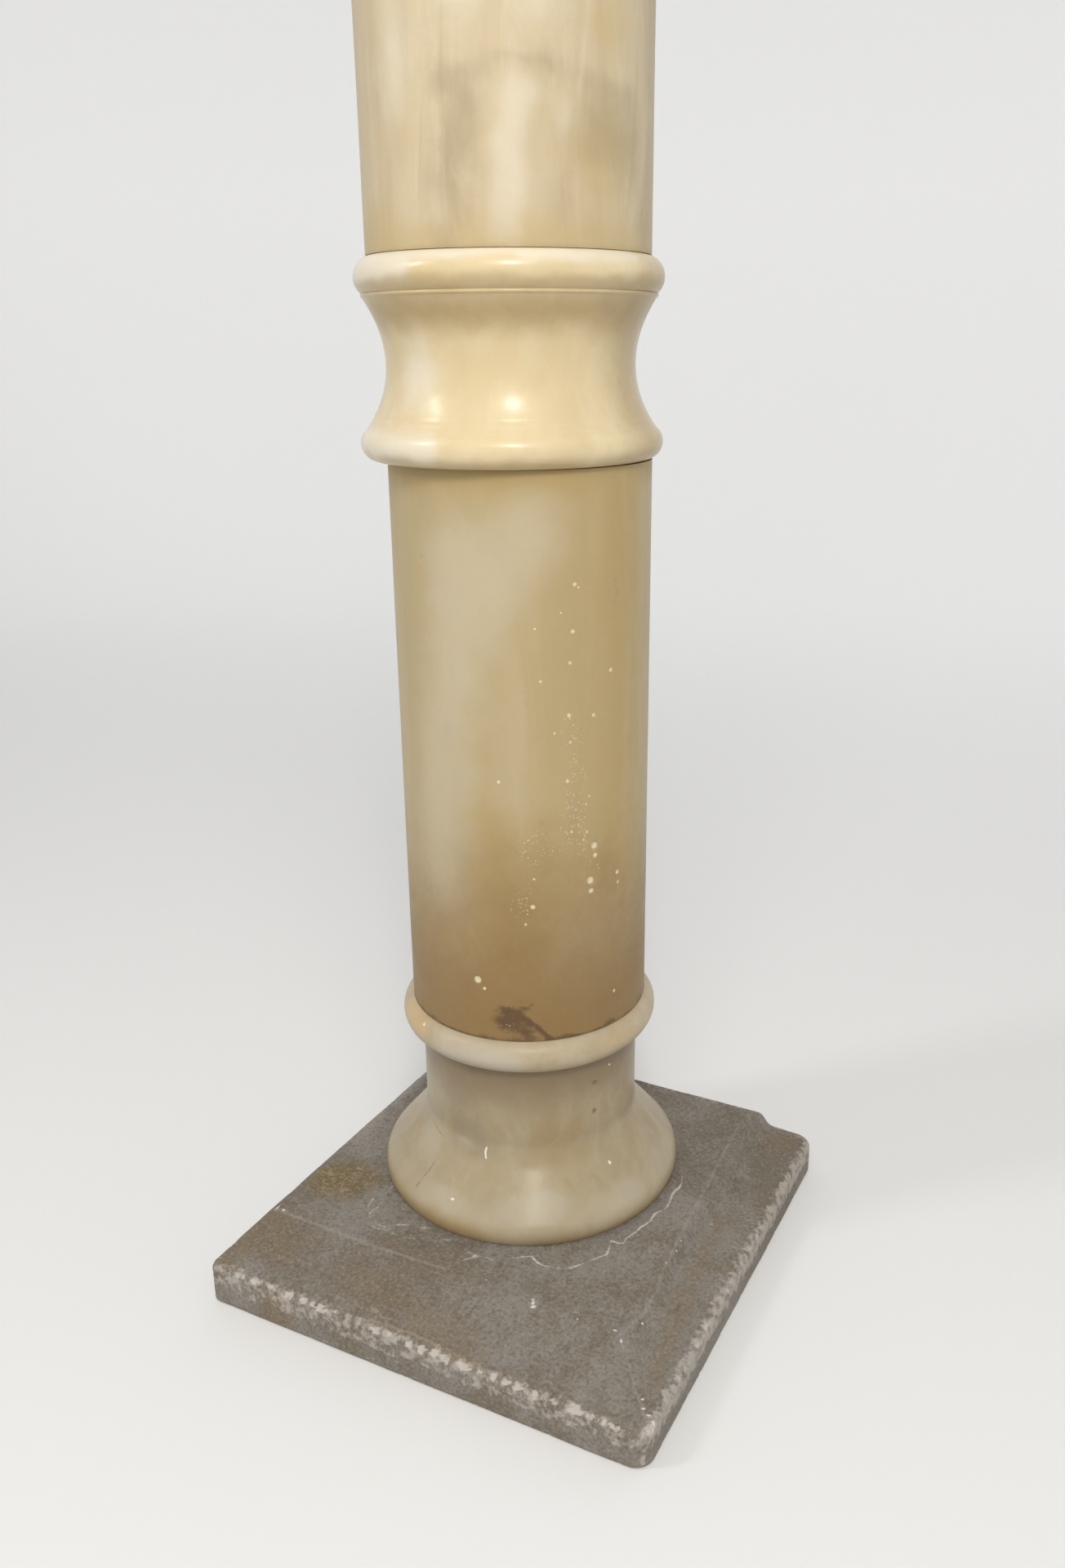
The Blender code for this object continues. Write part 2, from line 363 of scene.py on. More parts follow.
def alabaster(name, tones, seed, painted):
    grain = alabasterGrain
    material, start, shader = newFinish(name, {**alabasterPolish, "Coat Weight": tones["coat"]})
    shift = (seed * 1.37, seed * 0.71, seed * 2.13)
    even = start.placed(shift)
    tall = start.placed(shift, (0.10, 0.06, 0), (1, 1, tones["stretch"]))
    cloud = start.grain(tall, tones["cloudSize"], 3, 0.55, 0.5)
    streak = start.grain(tall, tones["streakSize"], 4, 0.60, 0.9)
    smear = start.grain(even, grain["smear"], 4, 0.62, 0.6)
    fine = start.grain(even, grain["fine"], 3, 0.65)
    ridge = abs(start.grain(even, tones["veinSize"], 4, 0.6, 1.2) - 0.5)
    web = (1 - ridge.rise(0.0, grain["vein"])) * cloud.rise(0.46, 0.62)

    colour = cloud.rise(0.30, 0.70).over(tones["shade"], tones["body"])
    colour = streak.rise(0.50, 0.72, tones["streakCover"]).over(colour, tones["deep"])
    colour = (1 - streak).rise(0.50, 0.72, tones["brightCover"]).over(colour, tones["pale"])
    colour = (web * tones["webCover"]).over(colour, tones["vein"])
    colour = smear.rise(0.42, 0.72, tones["mottle"]).over(colour, tones["pale"])
    colour = fine.rise(0.50, 0.78, grain["fineCover"]).over(colour, tones["deep"])
    ragged = smear * 0.7 + fine * 0.3 - 0.5
    smoke = streak * 0.6 + smear * 0.5 - 0.55
    gloss = tones["roughness"] + ragged * grain["glossSpread"]
    # besides the stone's patches, these layers carry painted shade and painted sheen where the marks say so
    for layer in ("warm", "paleToneAndSheen", "haze", "paintedShadeAndTone", "stain", "chalk"):
        if layer not in painted:
            continue
        broken = smoke if layer in ("haze", "paleToneAndSheen", "warm") else ragged
        mask = brokenEdge(start.layer(layer), broken, patchEdges[layer])
        colour = mask.over(colour, tones[layer])
        if layer in ("chalk", "stain"):
            gloss = gloss + mask * grain["markGloss"]
    if "flecks" in painted:
        cell = start.node("TexVoronoi", {}, {"Vector": even, "Scale": 1 / grain["fleck"]}, "Distance")
        dots = 1 - cell.rise(0.10, 0.34)
        fleck = dots * brokenEdge(start.layer("flecks"), ragged, patchEdges["flecks"])
        colour = (fleck * grain["fleckCover"]).over(colour, tones["chalk"])
        gloss = gloss + fleck * grain["markGloss"]
    bump = start.node("Bump", {}, {"Strength": grain["reliefStrength"], "Distance": grain["reliefDepth"],
                                   "Height": smear * 0.6 + fine * 0.4})
    connect(start, shader, {"Base Color": colour, "Roughness": gloss, "Normal": bump})
    return material


patchEdges = {  # how ragged a painted patch is, where it starts and is full, and its strongest cover
    "warm": (1.2, 0.05, 1.10, 0.80), "paleToneAndSheen": (1.4, 0.05, 1.10, 0.60), "haze": (2.1, 0.02, 1.20, 0.66),
    "paintedShadeAndTone": (0.4, 0.00, 1.10, 1.0), "stain": (2.2, 0.30, 0.90, 0.85), "chalk": (1.3, 0.22, 0.70, 0.92),
    "flecks": (3.4, 0.55, 1.15, 1.0),
}
# each stone's dark colour paints shade as well as darker stone; the lower drum's warm colour also paints
# the shade under the collar, and the collar's pale colour paints its sheen
creamTones = {
    "body": (0.63, 0.53, 0.365), "shade": (0.56, 0.455, 0.29), "deep": (0.45, 0.355, 0.21),
    "pale": (0.72, 0.645, 0.50), "vein": (0.36, 0.28, 0.17), "warm": (0.55, 0.43, 0.225),
    "paleToneAndSheen": (0.75, 0.68, 0.545), "haze": (0.37, 0.295, 0.185), "paintedShadeAndTone": (0.48, 0.37, 0.20),
    "stain": (0.25, 0.17, 0.09), "chalk": (0.88, 0.84, 0.72),
    "stretch": 0.13, "cloudSize": 0.070, "streakSize": 0.020, "veinSize": 0.060,
    "streakCover": 0.45, "brightCover": 0.40, "webCover": 0.10, "mottle": 0.14,
    "roughness": 0.42, "coat": 0.05,
}
honeyTones = dict(
    creamTones, body=(0.50, 0.405, 0.245), shade=(0.45, 0.355, 0.195), deep=(0.38, 0.295, 0.165),
    pale=(0.55, 0.475, 0.335), paleToneAndSheen=(0.575, 0.505, 0.38), haze=(0.37, 0.305, 0.21), warm=(0.43, 0.31, 0.13),
    paintedShadeAndTone=(0.265, 0.165, 0.062), stain=(0.11, 0.065, 0.035), chalk=(0.72, 0.64, 0.43), cloudSize=0.10,
    streakSize=0.030, stretch=0.13, streakCover=0.28, brightCover=0.22, webCover=0.0, mottle=0.06,
    roughness=0.50, coat=0.0,
)
collarTones = dict(
    creamTones, body=(0.74, 0.625, 0.405), shade=(0.66, 0.535, 0.32), deep=(0.56, 0.43, 0.23),
    pale=(0.82, 0.75, 0.58), paleToneAndSheen=(0.80, 0.76, 0.67), paintedShadeAndTone=(0.40, 0.285, 0.125), cloudSize=0.10,
    streakSize=0.030, stretch=0.3, streakCover=0.25, brightCover=0.25, mottle=0.10, webCover=0.04,
    roughness=0.34, coat=0.35,
)
ringTones = dict(
    creamTones, body=(0.50, 0.42, 0.29), shade=(0.44, 0.355, 0.23), deep=(0.37, 0.285, 0.165),
    pale=(0.56, 0.51, 0.41), paleToneAndSheen=(0.53, 0.49, 0.42), warm=(0.60, 0.43, 0.23), cloudSize=0.06,
    streakSize=0.02, stretch=1.0, streakCover=0.30, brightCover=0.35, mottle=0.25, webCover=0.05,
    roughness=0.42, coat=0.08,
)
footTones = dict(
    creamTones, body=(0.42, 0.345, 0.225), shade=(0.375, 0.295, 0.18), deep=(0.30, 0.22, 0.12),
    pale=(0.51, 0.45, 0.335), paleToneAndSheen=(0.50, 0.45, 0.35), haze=(0.31, 0.26, 0.195), warm=(0.36, 0.25, 0.115),
    paintedShadeAndTone=(0.23, 0.165, 0.095), stain=(0.20, 0.11, 0.05), cloudSize=0.09, streakSize=0.022, stretch=0.5,
    streakCover=0.32, brightCover=0.32, mottle=0.22, webCover=0.08, roughness=0.40, coat=0.14,
)

bed = 0.0005  # each stone settles this much onto the one below, across the model's gap
drumMesh = {"columns": 240, "cell": 0.0024, "arris": 0.00012, "bedMiddle": 0.5, "waver": 0.00025}


def drumOutline(seat):
    radius, height, arris = seat["radius"], seat["height"], drumMesh["arris"]
    middle = radius * drumMesh["bedMiddle"]
    side = closeRows([(radius, height - arris), (radius, arris - bed)], drumMesh["cell"])
    return [(0, height), (middle, height), (radius - arris, height), *side,
            (radius - arris, -bed), (middle, -bed), (0, -bed)]


def finishTurned(stone, node, tones, seed, layers):
    paint(stone, gapsRound(seatOf(node), pointsOf(stone), making["patchBend"]), layers)
    setInPlace(stone, node, alabaster(stone.name.replace("_", " "), tones, seed, layers))


# Upper drum

upperDrum = {
    "haze": [
        spotAt(-75, 0.064, 0.017, 0.024, 0.85),
        lineAlong([(-78, 0.050), (-83, 0.034), (-81, 0.018), (-84, 0.002)], 0.020, 0.75),
        lineAlong([(-85, 0.078), (-76, 0.066), (-78, 0.046)], 0.016, 0.6),
        lineAlong([(-85, 0.077), (-68, 0.083), (-59, 0.087), (-49, 0.084), (-36, 0.080), (-21, 0.075),
                  (-6, 0.073)], 0.010, 0.45),
        spotAt(-22, 0.056, 0.040, 0.036, 0.95),
        lineAlong([(12, 0.010), (10, 0.070), (12, 0.160)], 0.022, 0.5),
        lineAlong([(-12, 0.070), (-5, 0.045), (0, 0.012)], 0.018, 0.60),
        spotAt(-40, 0.022, 0.026, 0.026, 0.40),
        lineAlong([(-64, 0.086), (-57, 0.0885), (-49, 0.085), (-44, 0.081)], 0.0035, 0.5),
    ],
    "paintedShadeAndTone": [
        # two spots of darker stone inside the arch, and a darker band along the bottom edge
        spotAt(-24, 0.050, 0.046, 0.050, 0.50), spotAt(-72, 0.030, 0.030, 0.050, 0.30),
        lineAlong([(-140, 0.0), (-60, -0.004), (10, 0.0)], 0.036, 0.35),
        # painted shade: a dark band down the side turned from the lamps
        lineAlong([(16, 0.010), (14, 0.070), (16, 0.160)], 0.034, 0.40),
    ],
    "warm": [
        spotAt(-20, 0.104, 0.026, 0.034, 0.8), spotAt(-24, 0.040, 0.040, 0.040, 0.8),
        spotAt(-55, 0.006, 0.050, 0.020, 0.6), spotAt(-122, 0.008, 0.040, 0.034, 0.9),
        lineAlong([(-140, 0.0), (-60, -0.004), (10, 0.0)], 0.030, 0.9),
        spotAt(-101, 0.055, 0.020, 0.040, 0.5),
    ],
    "paleToneAndSheen": [
        spotAt(-106, 0.090, 0.024, 0.060, 0.8), spotAt(-77, 0.130, 0.022, 0.055, 0.9),
        spotAt(-50, 0.112, 0.022, 0.030, 0.8),
        lineAlong([(-57, 0.072), (-60, 0.045), (-62, 0.010)], 0.018),
        spotAt(-40, 0.062, 0.012, 0.020, 0.7),
    ],
    "chalk": [
        spotAt(-75, 0.0096, 0.0020, 0.0020, 0.75), spotAt(-28, 0.0206, 0.0020, 0.0020, 0.6),
    ],
}


def makeUpperDrum():
    seat = seatOf("upper_drum")
    stone = turnStone("upper_drum_stone", seat, drumOutline(seat), drumMesh["columns"])
    wearRound(stone, drumMesh["waver"])
    finishTurned(stone, "upper_drum", creamTones, 1, upperDrum)


# Lower drum

lowerDrum = {
    "haze": [
        lineAlong([(-41, 0.058), (-26, 0.066), (-13, 0.072)], 0.022, 0.6),
        lineAlong([(-95, 0.02), (-92, 0.10), (-96, 0.20)], 0.018, 0.4),
    ],
    "warm": [
        lineAlong([(-75, 0.030), (-74, 0.090), (-78, 0.150)], 0.026, 0.7),
        lineAlong([(-55, 0.06), (-52, 0.20), (-50, 0.30)], 0.030, 0.5),
        lineAlong([(-17, 0.330), (-18, 0.100)], 0.052, 0.95),
        spotAt(-64, 0.100, 0.060, 0.070, 0.7),
        # painted shade: a darker band round the top, under the collar's lower bead
        lineAlong([(-160, 0.354), (-60, 0.352), (20, 0.354)], 0.022, 0.9),
        spotAt(-64, 0.012, 0.036, 0.020, 0.9),
    ],
    "paleToneAndSheen": [
        lineAlong([(-104, 0.10), (-98, 0.20), (-88, 0.31)], 0.040, 0.9),
        lineAlong([(-84, 0.27), (-58, 0.32)], 0.040, 0.7),
        spotAt(-45, 0.060, 0.024, 0.050, 0.5),
    ],
    "paintedShadeAndTone": [
        # painted shade: darker towards the bottom of the drum; the three spots after it are darker stone
        lineAlong(allRound(-0.01), 0.21),
        spotAt(-68, 0.055, 0.030, 0.060, 0.45), spotAt(-64, 0.110, 0.065, 0.060, 0.28),
        spotAt(-24, 0.105, 0.018, 0.034, 0.35),
    ],
    "stain": [
        spotAt(-70, 0.0142, 0.024, 0.017, 0.85), spotAt(-62, 0.0060, 0.016, 0.008, 0.75),
        lineAlong([(-74, 0.022), (-66, 0.020), (-60, 0.026)], 0.0022, 0.7),
        lineAlong([(-65.8, 0.0182), (-52.2, 0.0012)], 0.0030),
        lineAlong(allRound(0.0), 0.004, 0.7),
    ],
    "flecks": [
        lineAlong([(-40.9, 0.212), (-37, 0.170), (-41, 0.140), (-34, 0.125)], 0.016),
        lineAlong([(-49, 0.131), (-41, 0.140), (-27, 0.114)], 0.014),
        lineAlong([(-59, 0.137), (-60, 0.110), (-65, 0.090)], 0.015),
        spotAt(-70, 0.0092, 0.016, 0.007),
    ],
}
pits = {  # angle and height of each, and its reach across
    "places": [
        (-39.2, 0.2910, 0.0021), (-37.4, 0.2889, 0.0013), (-40.4, 0.2642, 0.0023), (-56.3, 0.2670, 0.0014),
        (-45.3, 0.2757, 0.0013), (-54.2, 0.2357, 0.0016), (-41.5, 0.2456, 0.0018), (-21.0, 0.2379, 0.0023),
        (-42.0, 0.2142, 0.0023), (-30.3, 0.2120, 0.0021), (-48.5, 0.2040, 0.0012), (-41.6, 0.1975, 0.0015),
        (-72.6, 0.1748, 0.0020), (-42.9, 0.1733, 0.0018), (-32.4, 0.1616, 0.0014), (-34.0, 0.1568, 0.0012),
        (-33.6, 0.1390, 0.0016), (-29.8, 0.1289, 0.0036), (-29.2, 0.1224, 0.0026), (-35.3, 0.1343, 0.0013),
        (-16.0, 0.1056, 0.0024), (-15.4, 0.0986, 0.0018), (-31.9, 0.1062, 0.0047), (-31.5, 0.0989, 0.0033),
        (-58.5, 0.1120, 0.0018), (-58.8, 0.0935, 0.0024), (-62.3, 0.0820, 0.0017), (-41.0, 0.1405, 0.0013),
        (-85.1, 0.0412, 0.0042), (-81.9, 0.0357, 0.0021), (-17.6, 0.0228, 0.0018),
    ],
    "depth": 0.25, "cuts": 3,
}


def drawIn(points, seat, share):  # towards the axis, where the share is under 1
    points[:, 0] = seat["x"] + (points[:, 0] - seat["x"]) * share
    points[:, 1] = seat["y"] + (points[:, 1] - seat["y"]) * share


def makeLowerDrum():
    seat = seatOf("lower_drum")
    stone = turnStone("lower_drum_stone", seat, drumOutline(seat), drumMesh["columns"])
    marks = [spotAt(angle, height, size, size) for angle, height, size in pits["places"]]
    refine(stone, nearMarks(marks, gapsRound(seat, pointsOf(stone), 0)), pits["cuts"])
    points = pointsOf(stone)
    radii = unrolled(seat, points)[2]
    skin = np.where(radii > seat["radius"] - drumMesh["arris"] / 2, seat["radius"] / radii, 1.0)
    drawIn(points, seat, skin)
    movePoints(stone, points)
    wearRound(stone, drumMesh["waver"])
    points = pointsOf(stone)
    gapsTo = gapsRound(seat, points, making["lineBend"])
    for mark in marks:  # each pit is a small bowl in the skin
        depth = mark["size"][0] * pits["depth"]
        sink = 1 - easedAll(1 - awayFrom(mark, gapsTo)) * depth / seat["radius"]
        drawIn(points, seat, sink)
    movePoints(stone, points)
    paint(stone, gapsTo, {"chalk": marks})
    paint(stone, gapsRound(seat, points, making["patchBend"]), lowerDrum)
    material = alabaster("lower drum stone", honeyTones, 2, {**lowerDrum, "chalk": marks})
    setInPlace(stone, "lower_drum", material)


# Rings

ringMesh = {"columns": 240, "cell": 0.0014, "bedMiddle": 0.6, "waver": 0.0003}
lowerRing = {
    "paleToneAndSheen": [lineAlong([(-99, 0.010), (-73, 0.010)], 0.020)],
    "warm": [
        lineAlong([(-138, 0.018), (-117, 0.016)], 0.012),
        lineAlong([(-28, 0.012), (4, 0.012)], 0.018, 0.4),
    ],
    "chalk": [spotAt(-117, 0.0197, 0.0020, 0.0020)],
}


def makeRing(node, seed, layers):
    seat = seatOf(node)
    bead, flat = seat["height"] / 2, seat["radius"] * ringMesh["bedMiddle"]
    edge = arc(seat["radius"] - bead, bead, bead, 90, -90, ringMesh["cell"])
    outline = [(0, seat["height"]), (flat, seat["height"]), *edge, (flat, -bed), (0, -bed)]
    stone = turnStone(node + "_stone", seat, outline, ringMesh["columns"])
    wearRound(stone, ringMesh["waver"])
    finishTurned(stone, node, ringTones, seed, layers)


# Collar

collar = {
    "columns": 240, "cell": 0.0012,
    "lowerBead": 0.020, "upperBead": 0.023, "upperEdge": 0.0902, "creaseInset": 0.004, "waist": 0.0737,
    "fillet": 0.0011, "filletCell": 0.0005, "grooveDepth": 0.0003, "grooves": (0.0250, 0.0212),
    "bedMiddle": 0.04, "waver": 0.0002,
}


def collarOutline(seat):
    lower, upper = collar["lowerBead"] / 2, collar["upperBead"] / 2
    height, lowerEdge, cell = seat["height"], seat["radius"], collar["cell"]
    lowerTurn = math.degrees(math.acos(1 - collar["creaseInset"] / lower))
    upperTurn = math.degrees(math.acos(1 - collar["creaseInset"] / upper))
    upperBead = arc(collar["upperEdge"] - upper, height - upper, upper, 90, -upperTurn, cell)
    lowerBead = arc(lowerEdge - lower, lower, lower, lowerTurn, -90, cell)
    (creaseR, creaseZ), (endR, endZ) = upperBead[-1], lowerBead[0]
    radius = collar["fillet"]  # a fine bead between the upper bead and the waist
    fillet = arc(creaseR - radius * 0.6, creaseZ - radius, radius, 60, -80, collar["filletCell"])
    topR, topZ = fillet[-1]
    steps = math.ceil((topZ - endZ) / cell)
    waist = []
    for index in range(1, steps):
        share = index / steps
        straight = mixed(topR, endR, share)
        hollow = 1 - (2 * share - 1) ** 2
        z = mixed(topZ, endZ, share)
        r = mixed(straight, collar["waist"], hollow)
        for groove in collar["grooves"]:
            r -= collar["grooveDepth"] * max(0.0, 1 - abs(z - groove) / cell)
        waist.append((r, z))
    middle = collar["bedMiddle"]
    return [(0, height), (middle, height), *upperBead, *fillet, *waist, *lowerBead,
            (middle, -bed), (0, -bed)]


collarMarks = {
    # painted shade: under the upper bead, on the upper part of the waist, which faces down, under the lower
    # bead, and in a broad band down the side turned from the lamps
    "paintedShadeAndTone": [
        lineAlong(allRound(0.082), 0.021, 0.75),
        lineAlong(allRound(0.001), 0.009, 0.55),
        lineAlong(allRound(0.0965), 0.007, 0.45),
        lineAlong([(5, 0.012), (3, 0.060), (9, 0.090)], 0.056, 0.70),
    ],
    "paleToneAndSheen": [
        # painted sheen: on the waist and both beads where the left softbox shines, and along the top of the
        # upper bead, where the key lamp shines
        spotAt(-104, 0.050, 0.030, 0.040, 0.8),
        lineAlong([(-135, 0.013), (-118, 0.011), (-92, 0.010)], 0.016),
        lineAlong([(-140, 0.104), (-120, 0.103), (-102, 0.104)], 0.016),
        lineAlong([(-130, 0.110), (-70, 0.111), (-10, 0.110)], 0.008, 0.9),
    ],
}


def makeCollar():
    seat = seatOf("collar")
    stone = turnStone("collar_stone", seat, collarOutline(seat), collar["columns"])
    wearRound(stone, collar["waver"])
    finishTurned(stone, "collar", collarTones, 5, collarMarks)


# Foot and capital

bell = {
    "columns": 300, "cell": 0.0013, "flare": 0.031, "lipRadius": 0.0125, "lipHeight": 0.0065,
    "cove": 0.026, "slope": 50, "neckArris": 0.0008, "bedMiddle": 0.5, "waver": 0.00025,
}
footMarks = {
    "haze": [
        lineAlong([(-112, 0.110), (-106, 0.080), (-95, 0.060)], 0.034, 0.6),
    ],
    "warm": [
        spotAt(-48, 0.062, 0.044, 0.050, 0.7),
        lineAlong([(-145, 0.006), (-118, 0.006), (-84, 0.002)], 0.022),
        lineAlong([(-60, 0.001), (-20, 0.002), (10, 0.002)], 0.008, 0.8),
    ],
    "paleToneAndSheen": [
        spotAt(-98, 0.051, 0.014, 0.006), spotAt(-120, 0.040, 0.030, 0.024, 0.9),
        spotAt(-22, 0.018, 0.034, 0.012, 0.8), spotAt(-100, 0.0195, 0.026, 0.008, 0.9),
        lineAlong([(-150, 0.016), (-60, 0.017), (20, 0.016)], 0.018, 0.6),
        spotAt(-58, 0.024, 0.030, 0.012),
    ],
    "paintedShadeAndTone": [
        # painted shade round the neck, under the ring
        lineAlong(allRound(0.108), 0.045, 0.8),
    ],
}
footLines = {
    "stain": [
        spotAt(-26.4, 0.0958, 0.0048, 0.0042), spotAt(-26.4, 0.0737, 0.0052, 0.0048),
        lineAlong([(-126.8, 0.0500), (-118.5, 0.0475), (-112.6, 0.0466), (-111.5, 0.0411), (-111.1, 0.0352),
                  (-111.8, 0.0301), (-112.4, 0.0251), (-113.7, 0.0176)], 0.0016, 0.55),
    ],
    "chalk": [
        lineAlong([(-85, 0.0520), (-85.6, 0.0490), (-84.8, 0.0453)], 0.0012, 0.75),
        spotAt(-16, 0.1033, 0.0018, 0.0018, 0.8), spotAt(-22.5, 0.0361, 0.0022, 0.0022, 0.85),
        lineAlong([(-95.2, 0.0209), (-94.2, 0.0212)], 0.0012, 0.75),
    ],
}


def bellOutline(seat, cell):
    lipR = seat["radius"] - bell["lipRadius"]
    neck = seat["radius"] - bell["flare"]
    slope = math.radians(bell["slope"])
    lip, cove = bell["lipRadius"], bell["cove"]
    startR = lipR + lip * math.sin(slope)
    startZ = bell["lipHeight"] + lip * math.cos(slope)
    endR = neck + cove * (1 - math.sin(slope))
    coveZ = startZ + (startR - endR) * math.tan(slope) + cove * math.cos(slope)
    turn = 90 - bell["slope"]
    under = -math.degrees(math.asin(bell["lipHeight"] / lip))
    height = seat["height"]
    hollow = arc(neck + cove, coveZ, cove, 180, 180 + turn, cell)
    rim = arc(lipR, bell["lipHeight"], lip, turn, under, cell)
    arris, middle = bell["neckArris"], neck * bell["bedMiddle"]
    side = closeRows([(neck, height - arris), *hollow, *rim], cell)
    return [(0, height), (middle, height), (neck - arris, height), *side, (middle, 0), (0, 0)]


def makeFoot():
    seat = seatOf("foot")
    stone = turnStone("foot_stone", seat, bellOutline(seat, bell["cell"]), bell["columns"])
    marks = footLines["stain"] + footLines["chalk"]
    refine(stone, nearMarks(marks, gapsRound(seat, pointsOf(stone), 0)), 1)
    wearRound(stone, bell["waver"])
    points = pointsOf(stone)
    paint(stone, gapsRound(seat, points, making["lineBend"]), footLines)
    paint(stone, gapsRound(seat, points, making["patchBend"]), footMarks)
    material = alabaster("foot stone", footTones, 6, {**footMarks, **footLines})
    setInPlace(stone, "foot", material)


capital = {
    "columns": 200, "cell": 0.002,
    "marks": {"warm": [spotAt(60, 0.05, 0.05, 0.03, 0.5)]},
}


def makeCapital():  # the foot's outline turned over
    seat = seatOf("capital")
    outline = [(r, seat["height"] - z) for r, z in reversed(bellOutline(seat, capital["cell"]))]
    stone = turnStone("capital_stone", seat, outline, capital["columns"])
    wearRound(stone, bell["waver"])
    finishTurned(stone, "capital", creamTones, 9, capital["marks"])


# Plinth

plinth = {
    "across": 190, "along": 194, "rows": 30, "crowding": 74,
    "rim": 0.0256, "leftRim": 0.0299, "frontMargin": 0.0555, "sideMargin": 0.0436,
    "stepRun": 0.0110, "stepFloor": 0.0276, "stepFade": 0.1000,
    "arris": 0.0050, "leftArris": 0.0140, "taper": 0.0550,
    "corner": 0.0120, "leftCorner": 0.0060, "underArris": 0.0020,
    "pitting": 0.00045, "pitSize": 0.0035, "swell": 0.0005, "swellSize": 0.030,
    "topLevel": 0.999, "bedLevel": 0.0002,
}
plinthEdge = {  # the pale worn band round the top arris, and down the nearest corner
    "start": 0.001, "reach": 0.011, "low": 0.006, "rise": 0.012, "rightStrip": 0.007, "rightStrength": 1.35,
    "cornerReach": 0.0016, "cornerStart": 1.6, "cornerStrength": 1.1,
}
plinthBends = {"ridge": 0.0012, "patch": 0.004, "line": 0.0032}  # how far each kind of mark wanders
plinthMarks = {  # places are x and y on the slab, in metres
    "ochre": [
        spotAt(-0.120, -0.052, 0.042, 0.042), spotAt(-0.134, -0.060, 0.022, 0.030),
    ],
    "brown": [
        lineAlong([(-0.150, -0.150), (-0.142, -0.114), (-0.118, -0.128)], 0.030, 0.9),
        lineAlong([(-0.060, -0.128), (-0.010, -0.138), (0.031, -0.148)], 0.024, 0.75),
        lineAlong([(0.020, -0.154), (0.068, -0.159)], 0.016, 0.5),
        spotAt(0.134, 0.138, 0.026, 0.024),
        lineAlong([(0.129, 0.028), (0.131, -0.025), (0.139, -0.085), (0.143, -0.119)], 0.016, 0.7),
        lineAlong([(-0.058, -0.100), (0.014, -0.099)], 0.010, 0.5),
    ],
    "rust": [
        lineAlong([(-0.044, -0.1545), (0.000, -0.1535), (0.047, -0.1540)], 0.0022, 0.9),
        lineAlong([(-0.060, -0.147), (-0.020, -0.149)], 0.0022, 0.7),
    ],
}
plinthRidgeHighlightsAndWear = {
    # painted highlight along the ridges where the raised field steps down to the margins, and along the
    # rounded left edge; the two spots are worn corners
    "ridge": [
        lineAlong([(0.105, 0.134), (0.1108, 0.036), (0.1140, -0.020), (0.119, -0.070), (0.115, -0.104),
                  (0.151, -0.147)], 0.0030, 0.80),
        lineAlong([(-0.152, 0.120), (-0.148, 0.060), (-0.146, -0.015)], 0.015, 0.75),
        spotAt(0.153, -0.153, 0.010, 0.010), spotAt(0.056, -0.1035, 0.009, 0.009, 0.9),
        lineAlong([(-0.146, -0.1020), (-0.100, -0.1033), (-0.058, -0.1036), (-0.010, -0.1020)],
                  0.0036, 0.85),
    ],
}
plinthLines = {
    "residue": [
        lineAlong([(0.034, -0.067), (0.045, -0.071), (0.058, -0.068), (0.070, -0.055), (0.077, -0.041),
                  (0.075, -0.029), (0.081, -0.027), (0.088, -0.005), (0.092, 0.016), (0.094, 0.035),
                  (0.091, 0.055)], 0.0013, 0.95),
        lineAlong([(-0.101, -0.029), (-0.087, -0.048), (-0.084, -0.081), (-0.068, -0.085), (-0.056, -0.075),
                  (-0.038, -0.072), (-0.014, -0.079), (0.002, -0.080), (-0.006, -0.093), (-0.019, -0.086)],
                  0.0012, 0.62),
        lineAlong([(-0.096, -0.040), (-0.092, -0.070), (-0.074, -0.088), (-0.040, -0.086)], 0.0010, 0.55),
        lineAlong([(0.002, -0.080), (0.018, -0.078), (0.034, -0.067)], 0.0012, 0.55),
    ],
    "fleck": [spotAt(*place, *size) for place, size in (
        ((0.0545, -0.1020), (0.0024, 0.0024)), ((0.0555, -0.1045), (0.0022, 0.0022)),
        ((0.0570, -0.1070), (0.0026, 0.0022)),
        ((0.087, -0.104), (0.0018, 0.0018)), ((0.082, -0.100), (0.0024, 0.0014)),
        ((0.120, -0.084), (0.0022, 0.0022)), ((0.111, -0.102), (0.0034, 0.0020)),
        ((0.117, -0.107), (0.0020, 0.0020)), ((-0.146, -0.100), (0.0022, 0.0050)),
        ((-0.139, -0.101), (0.0034, 0.0016)), ((0.115, -0.009), (0.0014, 0.0018)),
        ((0.116, -0.018), (0.0014, 0.0018)), ((0.114, -0.034), (0.0014, 0.0018)),
        ((0.142, -0.134), (0.0018, 0.0018)), ((0.146, -0.139), (0.0022, 0.0020)),
        ((0.150, -0.143), (0.0024, 0.0020)), ((0.154, -0.147), (0.0022, 0.0022)),
        ((0.020, -0.100), (0.0016, 0.0012)))],
}
plinthSides = {
    "sideStain": [spotAt(-0.103, -0.159, 0.024, 0.012)],
}
